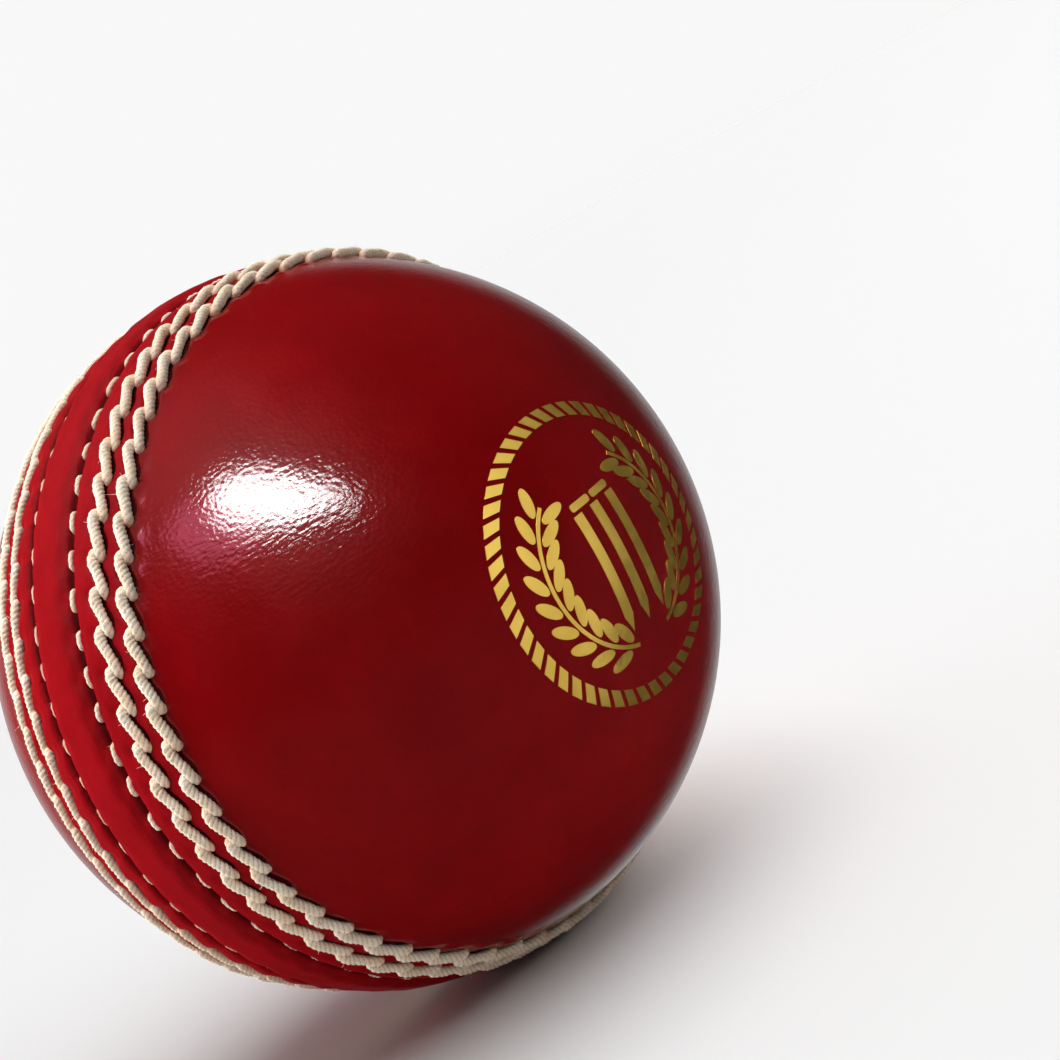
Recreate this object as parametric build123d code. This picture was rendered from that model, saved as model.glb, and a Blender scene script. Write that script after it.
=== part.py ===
from build123d import *
import math
import os

# Four-piece cricket ball. Millimetres.
# Origin: the centre of the ball.
# +Y: the axis through the middles of the two leather cups, from the stamped cup to the plain cup.
# +Z: up. The seam stands upright, in the XZ plane, and the ball rests on the lowest point of the seam.

# Outer sizes
CUP_RADIUS = 35.65
SEAM_RADIUS = 36.40
LEATHER_INSIDE_RADIUS = 32.30

# Seam. Distances across the seam are measured from the seam plane, along the ball's axis.
STITCH_COUNT = 62
CLOSING_ROW = 3.25
INNER_ROW = 6.90
OUTER_ROW = 9.90
LIP_EDGE_RADIUS = 36.22
LIP_CREST = 1.40
LIP_SHOULDER = 2.55
LIP_SHOULDER_RADIUS = 36.20
CLOSING_GROOVE_RADIUS = 35.65
FLAP_START = 3.95
FLAP_RADIUS = 36.00
GROOVE_HALF_WIDTH = 1.02
GROOVE_BEVEL = 0.20
INNER_ROW_FLOOR = 35.75
OUTER_ROW_FLOOR = 35.70
RIDGE_RADIUS = 35.95
STEP_START = 11.30
STEP_END = 11.65

# Thread of the four outer rows
THREAD_DIAMETER = 0.95
THREAD_LIFT = 0.03
STITCH_SHIFT = 1.00
STITCH_OVERLAP = 0.50
STITCH_SLANT_LENGTH = 1.60
STITCH_SLANT_FILLET = 1.20
STITCH_TOP_FILLET = 0.60
STITCH_LINK_FILLET = 0.51
LINK_RADIUS = 33.50
SLOT_CLEARANCE = 0.075
SLOT_BOTTOM_RADIUS = 32.90

# Place of each row's first stitch, as a share of the pitch, from +X towards +Z
CLOSING_ROW_PHASE = 0.55
INNER_ROW_PHASE = 0.12
OUTER_ROW_PHASE = 0.36

# Thread that closes the two lips
CLOSING_DIAMETER = 0.60
CLOSING_DASH = 1.70
CLOSING_FILLET = 0.40
CLOSING_DEPTH_RADIUS = 34.50
CLOSING_CLEARANCE = 0.06

# Hidden stitching between the two quarters of a cup
QUARTER_THREAD_DIAMETER = 0.60
QUARTER_STITCHES = 27
QUARTER_STITCH_ARC = 132.0
QUARTER_STITCH_WIDTH = 3.0
QUARTER_GROOVE_WIDTH = 3.8
QUARTER_GROOVE_DEPTH = 0.75
QUARTER_GROOVE_START = 11.5
QUARTER_BAR_DEPTH = 0.40
QUARTER_LEG_DEPTH = 1.70
QUARTER_FILLET = 0.45

# Core: a cork nucleus, then windings of yarn and layers of cork slips in turn, by outer radius
NUCLEUS_RADIUS = 14.5
YARN_RADII = (16.5, 20.7, 24.9, 29.1, LEATHER_INSIDE_RADIUS)
CORK_RADII = (18.7, 22.9, 27.1, 31.0)
CORK_SLIPS = 6
CORK_SLIP_GAP = 3.0
CORK_SLIP_END = 82.0

# Stamp on the cup at -Y
FOIL_THICKNESS = 0.05
STAMP_RIGHT = 0.7
STAMP_UP = -1.5
ROPE_OUTER = 14.2
ROPE_INNER = 12.8
ROPE_STRANDS = 48
ROPE_STRAND_ANGLE = 5.0
ROPE_LEAN = 4.0
STUMP_SPACING = 2.5
STUMP_WIDTH = 1.2
STUMP_TOP = 4.6
STUMP_BOTTOM = -7.4
STUMP_POINT = 1.6
BAIL_LENGTH = 2.7
BAIL_HEIGHT = 0.75
BAIL_GAP = 0.35
BAIL_ROUNDING = 0.30
SPRIG_RADIUS = 9.1
SPRIG_STEM = 0.38
SPRIG_START = -75.0
SPRIG_END = 52.0
LEAF_COUNT = 9
LEAF_LENGTH = 2.9
LEAF_WIDTH = 1.15
LEAF_LEAN = 32.0
LEAF_OFFSET = 1.25
LEAF_FORWARD = 4.0
LEAF_FIRST = 0.7

QUARTER_TURN = 90.0
PITCH_ANGLE = 360.0 / STITCH_COUNT
THREAD_RADIUS = THREAD_DIAMETER / 2
CLOSING_THREAD_RADIUS = CLOSING_DIAMETER / 2
BALL_ROOM = 3 * CUP_RADIUS


def turned(angle):
    """Unit vector in the seam plane, at an angle from +X towards +Z."""
    return Vector(math.cos(math.radians(angle)), 0, math.sin(math.radians(angle)))


def seam_point(angle, across, radius):
    """Point at a distance from the ball's centre, across the seam on the stamped side."""
    return turned(angle) * math.sqrt(radius**2 - across**2) - Vector(0, across, 0)


def row_point(row, angle, shift, radius):
    """Point near a row of stitches. Shift runs over the surface, away from the seam plane."""
    latitude = math.asin(row / CUP_RADIUS) + shift / CUP_RADIUS
    return turned(angle) * (radius * math.cos(latitude)) - Vector(0, radius * math.sin(latitude), 0)


def about_axis(shape, angle):
    """Turn a shape about the ball's axis, from +X towards +Z."""
    return shape.rotate(Axis.Y, -angle)


def ring_of(shape, count):
    """Copies of a shape spaced evenly around the seam."""
    return [about_axis(shape, 360.0 * number / count) for number in range(count)]


def plain_side(shape):
    """The same thing on the plain side of the seam, a quarter of a turn further round.

    A quarter of a turn is fifteen and a half stitches, so the dashes of the closing thread alternate.
    """
    return about_axis(mirror(shape, about=Plane.XZ), QUARTER_TURN)


def tube(points, fillets, radius):
    """Round thread along straight runs joined by tangent arcs."""
    path = FilletPolyline(*points, radius=fillets)
    section = Plane(origin=path @ 0, z_dir=path % 0) * Circle(radius)
    return sweep(section, path=path)


def rod(start, end, radius, extra=0.0):
    """Round rod between two points, longer by extra at both ends."""
    direction = (end - start).normalized()
    length = (end - start).length + 2 * extra
    return extrude(Plane(origin=start - direction * extra, z_dir=direction) * Circle(radius), length)


def profile_point(across, radius):
    """Point of the cup's profile, in the XY plane."""
    return (math.sqrt(radius**2 - across**2), -across)


def profile_arc(across_a, across_b, radius):
    """Arc of the cup's profile about the ball's centre."""
    middle = (across_a + across_b) / 2
    return ThreePointArc(
        profile_point(across_a, radius), profile_point(middle, radius), profile_point(across_b, radius)
    )


def thread_groove(row, before, floor, after):
    """Profile of the groove that a row of stitches lies in."""
    inner_side = row - GROOVE_HALF_WIDTH
    outer_side = row + GROOVE_HALF_WIDTH
    return [
        Line(profile_point(inner_side - GROOVE_BEVEL, before), profile_point(inner_side, floor)),
        profile_arc(inner_side, outer_side, floor),
        Line(profile_point(outer_side, floor), profile_point(outer_side + GROOVE_BEVEL, after)),
    ]


def cup_blank():
    """Leather cup of the stamped side with its lip, flap and grooves, before the awl holes."""
    rim = GROOVE_HALF_WIDTH + GROOVE_BEVEL
    outline = [
        ThreePointArc(
            profile_point(0, LIP_EDGE_RADIUS),
            profile_point(LIP_CREST, SEAM_RADIUS),
            profile_point(LIP_SHOULDER, LIP_SHOULDER_RADIUS),
        ),
        ThreePointArc(
            profile_point(LIP_SHOULDER, LIP_SHOULDER_RADIUS),
            profile_point(CLOSING_ROW, CLOSING_GROOVE_RADIUS),
            profile_point(FLAP_START, FLAP_RADIUS),
        ),
        profile_arc(FLAP_START, INNER_ROW - rim, FLAP_RADIUS),
        *thread_groove(INNER_ROW, FLAP_RADIUS, INNER_ROW_FLOOR, RIDGE_RADIUS),
        profile_arc(INNER_ROW + rim, OUTER_ROW - rim, RIDGE_RADIUS),
        *thread_groove(OUTER_ROW, RIDGE_RADIUS, OUTER_ROW_FLOOR, RIDGE_RADIUS),
        profile_arc(OUTER_ROW + rim, STEP_START, RIDGE_RADIUS),
        Line(profile_point(STEP_START, RIDGE_RADIUS), profile_point(STEP_END, CUP_RADIUS)),
        profile_arc(STEP_END, CUP_RADIUS, CUP_RADIUS),
        Line((0, -CUP_RADIUS), (0, -LEATHER_INSIDE_RADIUS)),
        profile_arc(LEATHER_INSIDE_RADIUS, 0, LEATHER_INSIDE_RADIUS),
        Line((LEATHER_INSIDE_RADIUS, 0), profile_point(0, LIP_EDGE_RADIUS)),
    ]
    return revolve(make_face(outline), Axis.Y, 360)


def row_ends(row, floor):
    """Angles and shifts of one stitch's two ends."""
    row_radius = math.sqrt(floor**2 - row**2)
    lap_angle = math.degrees(STITCH_OVERLAP / row_radius)
    half_angle = (PITCH_ANGLE + lap_angle) / 2
    slant_angle = math.degrees(STITCH_SLANT_LENGTH / row_radius) / 2
    return half_angle, slant_angle


def row_stitch(row, floor, phase):
    """One stitch of an outer row: up out of the leather, slanting over it and down again."""
    half_angle, slant_angle = row_ends(row, floor)
    half_shift = STITCH_SHIFT / 2
    top = floor + THREAD_LIFT + THREAD_RADIUS
    middle = phase * PITCH_ANGLE
    start_low = row_point(row, middle - half_angle, -half_shift, LINK_RADIUS)
    end_low = row_point(row, middle + half_angle, half_shift, LINK_RADIUS)
    last_low = row_point(row, middle + half_angle - PITCH_ANGLE, half_shift, LINK_RADIUS)
    next_low = row_point(row, middle - half_angle + PITCH_ANGLE, -half_shift, LINK_RADIUS)
    points = [
        (last_low + start_low) / 2,
        start_low,
        row_point(row, middle - half_angle, -half_shift, top),
        row_point(row, middle - slant_angle, -half_shift, top),
        row_point(row, middle + slant_angle, half_shift, top),
        row_point(row, middle + half_angle, half_shift, top),
        end_low,
        (end_low + next_low) / 2,
    ]
    fillets = [
        STITCH_LINK_FILLET,
        STITCH_TOP_FILLET,
        STITCH_SLANT_FILLET,
        STITCH_SLANT_FILLET,
        STITCH_TOP_FILLET,
        STITCH_LINK_FILLET,
    ]
    return tube(points, fillets, THREAD_RADIUS)


def row_slot(row, floor, phase):
    """Awl slot that holds the end of one stitch and the start of the next."""
    half_angle = row_ends(row, floor)[0]
    half_shift = STITCH_SHIFT / 2
    middle = phase * PITCH_ANGLE
    end = row_point(row, middle + half_angle, half_shift, floor)
    start = row_point(row, middle - half_angle + PITCH_ANGLE, -half_shift, floor)
    centre = (start + end) / 2
    outward = centre.normalized()
    width = THREAD_DIAMETER + 2 * SLOT_CLEARANCE
    plane = Plane(origin=outward * SLOT_BOTTOM_RADIUS, x_dir=(end - start), z_dir=outward)
    slot = plane * SlotCenterToCenter((end - start).length, width)
    return extrude(slot, SEAM_RADIUS - SLOT_BOTTOM_RADIUS)


def closing_points():
    """Corners of one repeat of the closing thread: a dash, a crossing, a dash and a crossing back."""
    groove_floor = math.sqrt(CLOSING_GROOVE_RADIUS**2 - CLOSING_ROW**2)
    top = groove_floor + THREAD_LIFT + CLOSING_THREAD_RADIUS
    dash = math.degrees(CLOSING_DASH / 2 / top)
    far_middle = PITCH_ANGLE / 2
    side = Vector(0, CLOSING_ROW, 0)
    near_dash_start = turned(-dash) * top - side
    near_dash_end = turned(dash) * top - side
    return [
        (near_dash_start + near_dash_end) / 2,
        near_dash_end,
        turned(dash) * CLOSING_DEPTH_RADIUS - side,
        turned(far_middle - dash) * CLOSING_DEPTH_RADIUS + side,
        turned(far_middle - dash) * top + side,
        turned(far_middle + dash) * top + side,
        turned(far_middle + dash) * CLOSING_DEPTH_RADIUS + side,
        turned(PITCH_ANGLE - dash) * CLOSING_DEPTH_RADIUS - side,
        turned(PITCH_ANGLE - dash) * top - side,
        (turned(PITCH_ANGLE - dash) * top + turned(PITCH_ANGLE + dash) * top) / 2 - side,
    ]


def closing_holes():
    """Holes for one dash of the closing thread on the stamped side, and for its two crossings."""
    points = closing_points()
    bore = CLOSING_THREAD_RADIUS + CLOSING_CLEARANCE
    holes = []
    for low, high, middle in (
        (points[2], points[1], (points[2] + points[3]) / 2),
        (points[7], points[8], (points[6] + points[7]) / 2),
    ):
        outward = (high - low).normalized()
        holes.append(rod(low, high + outward, bore, extra=bore))
        holes.append(rod(low, middle, bore, extra=bore))
    return holes


def quarter_stitch(angle):
    """Hidden stitch across the joint of the stamped cup's two quarters, in the cup's inner groove."""
    half = QUARTER_STITCH_WIDTH / 2
    outward = Vector(0, -math.cos(math.radians(angle)), math.sin(math.radians(angle)))
    bar = outward * (LEATHER_INSIDE_RADIUS + QUARTER_BAR_DEPTH)
    leg = outward * (LEATHER_INSIDE_RADIUS + QUARTER_LEG_DEPTH)
    side = Vector(half, 0, 0)
    points = [leg - side, bar - side, bar + side, leg + side]
    return tube(points, [QUARTER_FILLET, QUARTER_FILLET], QUARTER_THREAD_DIAMETER / 2)


def quarter_stitch_angles():
    """Angles of the hidden stitches, from the middle of the cup."""
    step = QUARTER_STITCH_ARC / (QUARTER_STITCHES - 1)
    return [step * number - QUARTER_STITCH_ARC / 2 for number in range(QUARTER_STITCHES)]


def quarter_holes():
    """Groove inside the stamped cup along its joint, with the needle holes of the hidden stitches."""
    slab = Box(QUARTER_GROOVE_WIDTH, BALL_ROOM, BALL_ROOM)
    groove = Sphere(LEATHER_INSIDE_RADIUS + QUARTER_GROOVE_DEPTH) & slab
    groove -= Pos(0, BALL_ROOM / 2 - QUARTER_GROOVE_START, 0) * Box(BALL_ROOM, BALL_ROOM, BALL_ROOM)
    holes = [groove]
    bore = QUARTER_THREAD_DIAMETER / 2 + CLOSING_CLEARANCE
    for angle in quarter_stitch_angles():
        outward = Vector(0, -math.cos(math.radians(angle)), math.sin(math.radians(angle)))
        for side in (-1, 1):
            start = outward * LEATHER_INSIDE_RADIUS + Vector(side * QUARTER_STITCH_WIDTH / 2, 0, 0)
            holes.append(rod(start, start + outward * QUARTER_LEG_DEPTH, bore, extra=bore))
    return holes


def cork_slips(inner, outer, axis_turn):
    """Layer of gore-shaped cork slips, laid edge to edge round the winding below."""
    end = math.radians(CORK_SLIP_END)
    low = (math.cos(end), -math.sin(end))
    high = (math.cos(end), math.sin(end))
    outline = [
        ThreePointArc((inner * low[0], inner * low[1]), (inner, 0), (inner * high[0], inner * high[1])),
        Line((inner * high[0], inner * high[1]), (outer * high[0], outer * high[1])),
        ThreePointArc((outer * high[0], outer * high[1]), (outer, 0), (outer * low[0], outer * low[1])),
        Line((outer * low[0], outer * low[1]), (inner * low[0], inner * low[1])),
    ]
    slip = revolve(make_face(outline), Axis.Y, 360.0 / CORK_SLIPS - CORK_SLIP_GAP)
    slips = ring_of(slip, CORK_SLIPS)
    return [piece.rotate(Axis.X, axis_turn) for piece in slips]


def polar(radius, angle):
    """Point in the plane of the stamp."""
    return (radius * math.cos(math.radians(angle)), radius * math.sin(math.radians(angle)))


def rope_ring():
    """Ring of leaning strands, like a rope."""
    half = ROPE_STRAND_ANGLE / 2
    corners = [
        (ROPE_INNER, -half - ROPE_LEAN / 2),
        (ROPE_OUTER, -half + ROPE_LEAN / 2),
        (ROPE_OUTER, half + ROPE_LEAN / 2),
        (ROPE_INNER, half - ROPE_LEAN / 2),
    ]
    strand = make_face(Polyline(*[polar(radius, angle) for radius, angle in corners], close=True))
    return [strand.rotate(Axis.Z, 360.0 * number / ROPE_STRANDS) for number in range(ROPE_STRANDS)]


def wicket():
    """Three pointed stumps with two bails on top."""
    half = STUMP_WIDTH / 2
    stump = make_face(
        Polyline(
            (-half, STUMP_TOP),
            (half, STUMP_TOP),
            (half, STUMP_BOTTOM + STUMP_POINT),
            (0, STUMP_BOTTOM),
            (-half, STUMP_BOTTOM + STUMP_POINT),
            close=True,
        )
    )
    stumps = [Pos(STUMP_SPACING * number, 0, 0) * stump for number in (-1, 0, 1)]
    bail_middle = STUMP_TOP + BAIL_GAP + BAIL_HEIGHT / 2
    bail = RectangleRounded(BAIL_LENGTH, BAIL_HEIGHT, BAIL_ROUNDING)
    bail_offset = BAIL_LENGTH / 2 + BAIL_GAP / 2
    return stumps + [Pos(side * bail_offset, bail_middle, 0) * bail for side in (-1, 1)]


def sprig():
    """Leafy sprig that curves up beside the wicket."""
    angles = (SPRIG_START, (SPRIG_START + SPRIG_END) / 2, SPRIG_END)
    inside = [polar(SPRIG_RADIUS - SPRIG_STEM / 2, angle) for angle in angles]
    outside = [polar(SPRIG_RADIUS + SPRIG_STEM / 2, angle) for angle in angles]
    stem = make_face(
        [
            ThreePointArc(*inside),
            Line(inside[-1], outside[-1]),
            ThreePointArc(*reversed(outside)),
            Line(outside[0], inside[0]),
        ]
    )
    pieces = [stem]
    step = (SPRIG_END - SPRIG_START) / LEAF_COUNT
    for number in range(LEAF_COUNT):
        angle = SPRIG_START + step * (number + LEAF_FIRST)
        for side in (-1, 1):
            centre = polar(SPRIG_RADIUS + side * LEAF_OFFSET, angle + LEAF_FORWARD)
            tilt = angle + 90 - side * LEAF_LEAN
            pieces.append(Pos(*centre, 0) * Rot(0, 0, tilt) * Ellipse(LEAF_LENGTH / 2, LEAF_WIDTH / 2))
    return pieces


def gold_foil_stamp():
    """Emblem pressed on the stamped cup: a rope ring round a wicket between two sprigs."""
    right_sprig = Sketch() + sprig()
    emblem = Sketch() + rope_ring() + wicket() + right_sprig + mirror(right_sprig, about=Plane.YZ)
    face_plane = Plane(origin=(STAMP_RIGHT, 0, STAMP_UP), x_dir=(1, 0, 0), z_dir=(0, -1, 0))
    raised = extrude(face_plane * emblem, BALL_ROOM)
    skin = Sphere(CUP_RADIUS + FOIL_THICKNESS) - Sphere(CUP_RADIUS)
    return (skin & raised).solids()


def solids_of(shapes):
    """All the solids of a shape or of a list of shapes."""
    if isinstance(shapes, (list, tuple)):
        return [solid for shape in shapes for solid in solids_of(shape)]
    return list(shapes.solids())


def save(name, shapes):
    """Write one sub-part to its own file."""
    solids = solids_of(shapes)
    export_step(solids[0] if len(solids) == 1 else Compound(children=solids), f"parts/{name}.step")
    print(name, len(solids), "solids", round(sum(solid.volume for solid in solids), 1), "mm3")


def make_core():
    """Cork nucleus, yarn windings and cork layers, from the inside out."""
    save("cork_nucleus", Sphere(NUCLEUS_RADIUS))
    inner = NUCLEUS_RADIUS
    for number, outer in enumerate(YARN_RADII, start=1):
        save(f"yarn_winding_{number}", Sphere(outer) - Sphere(inner))
        if number <= len(CORK_RADII):
            inner = CORK_RADII[number - 1]
            save(f"cork_layer_{number}", cork_slips(outer, inner, QUARTER_TURN * (number % 2)))


def make_leather():
    """Four leather quarters, two to a cup, with the hidden stitching that joins each pair."""
    tools = ring_of(row_slot(INNER_ROW, INNER_ROW_FLOOR, INNER_ROW_PHASE), STITCH_COUNT)
    tools += ring_of(row_slot(OUTER_ROW, OUTER_ROW_FLOOR, OUTER_ROW_PHASE), STITCH_COUNT)
    for hole in closing_holes():
        tools += ring_of(about_axis(hole, CLOSING_ROW_PHASE * PITCH_ANGLE), STITCH_COUNT)
    cup = cup_blank() - tools - quarter_holes()
    half_space = Box(BALL_ROOM, BALL_ROOM, BALL_ROOM)
    left = cup & Pos(-BALL_ROOM / 2, 0, 0) * half_space
    right = cup & Pos(BALL_ROOM / 2, 0, 0) * half_space
    save("stamped_cup_left_quarter", left)
    save("stamped_cup_right_quarter", right)
    save("plain_cup_lower_quarter", plain_side(left))
    save("plain_cup_upper_quarter", plain_side(right))
    stitches = [quarter_stitch(angle) for angle in quarter_stitch_angles()]
    save("stamped_cup_hidden_stitching", stitches)
    save("plain_cup_hidden_stitching", [plain_side(stitch) for stitch in stitches])


def make_seam():
    """Thread that closes the lips, and the two rows of stitches on each side of them."""
    points = closing_points()
    closing = tube(points, [CLOSING_FILLET] * (len(points) - 2), CLOSING_THREAD_RADIUS)
    save("lip_closing_thread", ring_of(about_axis(closing, CLOSING_ROW_PHASE * PITCH_ANGLE), STITCH_COUNT))
    inner = row_stitch(INNER_ROW, INNER_ROW_FLOOR, INNER_ROW_PHASE)
    outer = row_stitch(OUTER_ROW, OUTER_ROW_FLOOR, OUTER_ROW_PHASE)
    save("stamped_side_inner_seam_thread", ring_of(inner, STITCH_COUNT))
    save("stamped_side_outer_seam_thread", ring_of(outer, STITCH_COUNT))
    save("plain_side_inner_seam_thread", ring_of(plain_side(inner), STITCH_COUNT))
    save("plain_side_outer_seam_thread", ring_of(plain_side(outer), STITCH_COUNT))


os.makedirs("parts", exist_ok=True)
make_core()
make_leather()
make_seam()
save("gold_foil_stamp", gold_foil_stamp())
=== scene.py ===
import math
import random

import bpy
import numpy as np
from mathutils import Matrix, Vector


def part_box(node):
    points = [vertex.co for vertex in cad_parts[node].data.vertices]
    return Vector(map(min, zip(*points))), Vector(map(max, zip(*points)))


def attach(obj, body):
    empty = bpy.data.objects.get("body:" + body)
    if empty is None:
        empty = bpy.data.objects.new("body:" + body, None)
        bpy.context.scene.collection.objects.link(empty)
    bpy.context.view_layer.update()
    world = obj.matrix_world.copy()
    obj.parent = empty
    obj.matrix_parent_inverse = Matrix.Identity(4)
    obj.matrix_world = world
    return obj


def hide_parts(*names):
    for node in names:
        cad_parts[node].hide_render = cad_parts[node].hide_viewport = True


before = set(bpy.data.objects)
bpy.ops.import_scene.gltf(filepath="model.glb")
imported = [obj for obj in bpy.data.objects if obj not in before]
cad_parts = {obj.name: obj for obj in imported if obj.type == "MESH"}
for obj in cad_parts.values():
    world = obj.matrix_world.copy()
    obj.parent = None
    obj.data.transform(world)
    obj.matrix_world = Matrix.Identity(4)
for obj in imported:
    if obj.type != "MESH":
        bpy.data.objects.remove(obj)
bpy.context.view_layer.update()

# A four-piece cricket ball. The frame is the CAD's: the origin is the ball's centre, +Y is the ball's
# axis, with the stamped cup on the -Y side, and the seam stands upright in the XZ plane.
# Sizes are in millimetres until a mesh is made, and MM turns them into metres.
MM = 0.001

CUP_RADIUS = -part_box("stamped_cup_right_quarter")[0].y / MM
SEAM_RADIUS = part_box("stamped_cup_right_quarter")[1].z / MM
LEATHER_INSIDE_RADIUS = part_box("yarn_winding_5")[1].z / MM

# Rows of stitches: distance from the seam plane, and place of the first stitch as a share of the pitch
STITCH_COUNT = 62
PITCH = 2 * math.pi / STITCH_COUNT
CLOSING_ROW = 3.25
INNER_ROW = 6.90
OUTER_ROW = 9.90
CLOSING_PHASE = 0.55
INNER_PHASE = 0.12
OUTER_PHASE = 0.36
FAR_TURN = math.radians(90)

# Rope stitches of the inner and outer rows
THREAD_RADIUS = 0.52
THREAD_HEIGHT = 0.36
STITCH_SHIFT = 0.38
STITCH_LAP = 0.30
STITCH_POINTS = 60
STITCH_AROUND = 24
STITCH_PLIES = 3
STITCH_LAY = 1.45
STITCH_LOBE = 0.30
STITCH_FIBRES = 3
# On the plain side they are slimmer, straighter and pulled deeper
FAR_SLIM = 0.88
FAR_SLANT = 0.45
FAR_SUNK = 0.26

# Dashes of the closing row
DASH_RADIUS = 0.30
DASH_HALF = 0.85
DASH_POINTS = 34
DASH_AROUND = 14
DASH_PLIES = 2
DASH_LAY = 1.1
DASH_LOBE = 0.20
DASH_FIBRES = 2
FAR_DASH_DEPTH = 0.16
FAR_DASH_THIN = 0.72
# Around this turn the closing thread is drawn tight, and its dashes sink into the groove
TIGHT_TURN = math.radians(218)
TIGHT_DEPTH = 0.34
TIGHT_WIDTH = 0.31

# Upper end for the random phase of a wave, just under a full turn
WAVE_PHASES = 6.28


def arc_of(row):
    """Distance over the cup's surface from the seam plane to a row."""
    return CUP_RADIUS * math.asin(row / CUP_RADIUS)


# ---------------------------------------------------------------- rows of stitches

class Row:
    """One row of stitches on one side of the seam. Turns are angles from +X towards +Z."""

    def __init__(self, arc, phase, seed, loose):
        rng = random.Random(seed)
        self.arc = arc
        self.turns = np.array([(k + phase + rng.gauss(0, loose)) * PITCH for k in range(STITCH_COUNT)])
        self.sways = np.array([rng.gauss(0, 0.05) for _ in range(STITCH_COUNT)])
        self.lifts = np.array([rng.gauss(0, 0.03) for _ in range(STITCH_COUNT)])
        self.radii = np.array([1 + rng.gauss(0, 0.035) for _ in range(STITCH_COUNT)])
        self.twists = np.array([rng.uniform(0, 2 * math.pi) for _ in range(STITCH_COUNT)])
        following = np.roll(self.turns, -1)
        following[-1] += 2 * math.pi
        self.gaps = (self.turns + following) / 2

    def share(self, turn):
        """How far along its stitch each turn is: 0 in the middle, -0.5 and 0.5 where stitches meet."""
        wrapped = np.mod(turn - self.gaps[-1], 2 * math.pi)
        edges = np.mod(self.gaps - self.gaps[-1], 2 * math.pi)
        edges[-1] = 2 * math.pi
        index = np.searchsorted(edges, wrapped, side="right")
        index = np.clip(index, 0, STITCH_COUNT - 1)
        low = np.where(index == 0, 0.0, edges[index - 1])
        high = edges[index]
        return (wrapped - low) / (high - low) - 0.5


def side_rows(seed):
    """The three rows of one side."""
    return {
        "closing": Row(arc_of(CLOSING_ROW), CLOSING_PHASE, seed, 0.05),
        "inner": Row(arc_of(INNER_ROW), INNER_PHASE, seed + 1, 0.03),
        "outer": Row(arc_of(OUTER_ROW), OUTER_PHASE, seed + 2, 0.03),
    }


ROWS = {"near": side_rows(11), "far": side_rows(21)}


def bell(x, width):
    """Smooth hump of height 1."""
    return np.exp(-((x / width) ** 2))


def plateau(x, half, soft):
    """1 within half of 0, fading to 0 over soft."""
    t = np.clip((np.abs(x) - half) / soft, 0, 1)
    return 1 - t * t * (3 - 2 * t)


# Leather height over the cup's sphere, against the distance over the surface from the seam plane
PROFILE = np.array(
    [
        # Band that the two lips make at the seam plane
        (0.00, 0.73),
        (0.60, 0.735),
        (1.30, 0.74),
        (2.00, 0.68),
        (2.55, 0.52),
        (2.92, 0.28),
        # Groove of the closing row
        (3.10, -0.10),
        (3.40, -0.12),
        # Flap between the closing row and the inner rope
        (3.58, 0.24),
        (3.95, 0.40),
        (4.50, 0.44),
        (5.50, 0.42),
        (5.95, 0.34),
        # Bed of the inner rope, and the ridge between the ropes
        (6.30, -0.08),
        (7.52, -0.08),
        (7.85, 0.26),
        (8.20, 0.33),
        (8.75, 0.32),
        (9.02, 0.22),
        # Bed of the outer rope, and the low ridge that fades into the cup
        (9.32, -0.10),
        (10.55, -0.10),
        (10.85, 0.09),
        (11.20, 0.11),
        (11.60, 0.08),
        (12.10, 0.03),
        (12.80, 0.00),
        (60.0, 0.00),
    ]
)
# The same profile with its corners rounded, as a table of closely spaced heights
TABLE_STEP = 0.02
TABLE_ROUNDING = 0.08
TABLE_REACH = 15
TABLE_ARCS = np.arange(-1.0, 61.0, TABLE_STEP)
TABLE_WEIGHTS = np.exp(-(np.arange(-TABLE_REACH, TABLE_REACH + 1) * TABLE_STEP / TABLE_ROUNDING) ** 2)
TABLE_HEIGHTS = np.convolve(
    np.interp(np.abs(TABLE_ARCS), PROFILE[:, 0], PROFILE[:, 1]),
    TABLE_WEIGHTS / TABLE_WEIGHTS.sum(),
    "same",
)


# Relief of the leather around the stitches
GROOVE_GAPE = 0.17
GROOVE_DRAWN_IN = 0.30
BED_SWAY = 0.34
BAND_DIP = 0.20
FLAP_DIP = 0.07
BAND_BULGE = 0.04
DASH_HOLE_DEPTH = 0.40
ROPE_HOLE_DEPTH = 0.42
ROPE_HOLE_OFFSET = 0.25
ROPE_DIPS = (("inner", 0.24), ("outer", 0.06))
POLE_SIDE_DIP = 0.08
ROPE_BULGE = 0.05
BESIDE_ROPE = 1.30
# Leather below this height is painted dark as shade, and it fades to dark over this much
PAINTED_SHADE_HEIGHT = 0.22
PAINTED_SHADE_FADE = 0.30
# Seed, size and number of waves of the unevenness, over the whole seam and on the band
SEAM_WOBBLE = (5, 0.030, 7)
BAND_WOBBLE = (15, 0.020, 9)


def wobble(turn, arc, seed, size, waves):
    """Slow hand-made unevenness, as a few crossing waves."""
    rng = random.Random(seed)
    total = np.zeros_like(turn + arc)
    for _ in range(waves):
        around = rng.randint(2, 40)
        across = rng.uniform(-1.2, 1.2)
        total = total + np.sin(around * turn + across * arc + rng.uniform(0, WAVE_PHASES))
    return total * size / math.sqrt(waves)


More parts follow.
